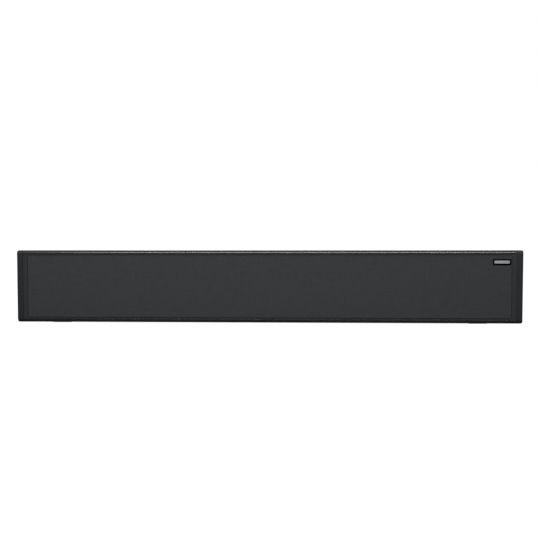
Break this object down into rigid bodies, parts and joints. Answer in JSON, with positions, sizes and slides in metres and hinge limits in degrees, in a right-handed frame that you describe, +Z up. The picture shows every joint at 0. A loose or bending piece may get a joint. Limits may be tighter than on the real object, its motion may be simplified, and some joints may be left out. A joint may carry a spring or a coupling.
{
  "type": "soundbar",
  "caption": "Long low loudspeaker bar with a framed cloth grille, painted sleeve, end caps with side buttons, rear sockets, ports and keyhole hangers.",
  "frame": {"origin": "under the middle of the bar, on the plane that its feet stand on", "axes": "+X along the length to the listener's right, -Y out of the front, +Z up"},
  "size_m": [0.914, 0.086, 0.132],
  "materials": {
    "sleeve_paint": "fine-textured charcoal powder coat on extruded aluminium",
    "moulded_plastic": "fine-sparked matt charcoal moulding",
    "bezel_plastic": "fine-sparked matt charcoal moulding",
    "inner_plastic": "black moulding",
    "port_plastic": "black moulding with a light spark texture",
    "grille_cloth": "plain-woven charcoal acoustic cloth, stretched",
    "badge_gloss": "piano black",
    "badge_satin": "fine-brushed bright satin",
    "button_rubber": "soft-touch silicone",
    "foot_rubber": "matt rubber",
    "surround_rubber": "butyl rubber, slight sheen",
    "black_steel": "black e-coat",
    "zinc_steel": "zinc plated",
    "plated_shell": "nickel plated sheet",
    "connector_plastic": "black moulding",
    "cone_paper": "pressed black pulp with fibres",
    "dome_fabric": "coated silk",
    "magnet_steel": "ferrite and zinc-plated steel",
    "circuit_board": "green solder mask",
    "bare_aluminium": "extruded, mill finish",
    "dark_window": "infrared-pass window"
  },
  "bodies": {
    "root": {"sleeve": "sleeve_paint", "left_end_cap": "moulded_plastic", "right_end_cap": "moulded_plastic", "left_cap_screw_bottom": "black_steel", "left_cap_screw_top": "black_steel", "right_cap_screw_bottom": "black_steel", "right_cap_screw_top": "black_steel", "front_baffle": "bezel_plastic", "left_port_tube": "port_plastic", "right_port_tube": "port_plastic", "left_hanger_plate": "zinc_steel", "right_hanger_plate": "zinc_steel", "terminal_panel": "port_plastic", "power_inlet": "connector_plastic", "hdmi_socket": "plated_shell", "optical_socket": "connector_plastic", "aux_socket": "connector_plastic", "usb_socket": "plated_shell", "main_board": "circuit_board", "heat_sink": "bare_aluminium", "power_board": "circuit_board", "transformer": "magnet_steel", "reservoir_capacitor": "connector_plastic", "sensor_board": "circuit_board", "sensor_window": "dark_window", "button_board": "circuit_board", "left_front_foot": "foot_rubber", "left_rear_foot": "foot_rubber", "right_front_foot": "foot_rubber", "right_rear_foot": "foot_rubber", "woofer_1_chassis": "black_steel", "woofer_1_magnet": "magnet_steel", "woofer_1_surround": "surround_rubber", "woofer_2_chassis": "black_steel", "woofer_2_magnet": "magnet_steel", "woofer_2_surround": "surround_rubber", "woofer_3_chassis": "black_steel", "woofer_3_magnet": "magnet_steel", "woofer_3_surround": "surround_rubber", "woofer_4_chassis": "black_steel", "woofer_4_magnet": "magnet_steel", "woofer_4_surround": "surround_rubber", "tweeter_1_body": "inner_plastic", "tweeter_1_dome": "dome_fabric", "tweeter_2_body": "inner_plastic", "tweeter_2_dome": "dome_fabric"},
    "grille": {"grille_frame": "inner_plastic", "grille_cloth": "grille_cloth", "badge_plate": "badge_gloss", "badge_inlay": "badge_satin"},
    "volume_up": {"volume_up_button": "button_rubber"},
    "volume_down": {"volume_down_button": "button_rubber"},
    "pairing": {"pairing_button": "button_rubber"},
    "source": {"source_button": "button_rubber"},
    "power": {"power_button": "button_rubber"},
    "flap": {"optical_flap": "connector_plastic"},
    "cone_1": {"woofer_1_cone": "cone_paper"},
    "cone_2": {"woofer_2_cone": "cone_paper"},
    "cone_3": {"woofer_3_cone": "cone_paper"},
    "cone_4": {"woofer_4_cone": "cone_paper"}
  },
  "joints": [
    {"name": "grille_pull", "type": "slide", "parent": "root", "child": "grille", "axis": [0, -1, 0], "range_m": [0, 0.06]},
    {"name": "volume_up_press", "type": "slide", "parent": "root", "child": "volume_up", "axis": [-1, 0, 0], "range_m": [0, 0.0009], "stiffness_N_per_m": 700},
    {"name": "volume_down_press", "type": "slide", "parent": "root", "child": "volume_down", "axis": [-1, 0, 0], "range_m": [0, 0.0009], "stiffness_N_per_m": 700},
    {"name": "pairing_press", "type": "slide", "parent": "root", "child": "pairing", "axis": [-1, 0, 0], "range_m": [0, 0.0009], "stiffness_N_per_m": 700},
    {"name": "source_press", "type": "slide", "parent": "root", "child": "source", "axis": [-1, 0, 0], "range_m": [0, 0.0009], "stiffness_N_per_m": 700},
    {"name": "power_press", "type": "slide", "parent": "root", "child": "power", "axis": [-1, 0, 0], "range_m": [0, 0.0009], "stiffness_N_per_m": 700},
    {"name": "flap_swing", "type": "hinge", "parent": "root", "child": "flap", "pos_m": [0.008, 0.0192, 0.0575], "axis": [-1, 0, 0], "range_deg": [0, 80], "stiffness_Nm_per_rad": 0.002},
    {"name": "cone_1_excursion", "type": "slide", "parent": "root", "child": "cone_1", "axis": [0, -1, 0], "range_m": [-0.0025, 0.0025], "stiffness_N_per_m": 900, "deforming": ["woofer_1_surround"]},
    {"name": "cone_2_excursion", "type": "slide", "parent": "root", "child": "cone_2", "axis": [0, -1, 0], "range_m": [-0.0025, 0.0025], "stiffness_N_per_m": 900, "deforming": ["woofer_2_surround"]},
    {"name": "cone_3_excursion", "type": "slide", "parent": "root", "child": "cone_3", "axis": [0, -1, 0], "range_m": [-0.0025, 0.0025], "stiffness_N_per_m": 900, "deforming": ["woofer_3_surround"]},
    {"name": "cone_4_excursion", "type": "slide", "parent": "root", "child": "cone_4", "axis": [0, -1, 0], "range_m": [-0.0025, 0.0025], "stiffness_N_per_m": 900, "deforming": ["woofer_4_surround"]}
  ]
}
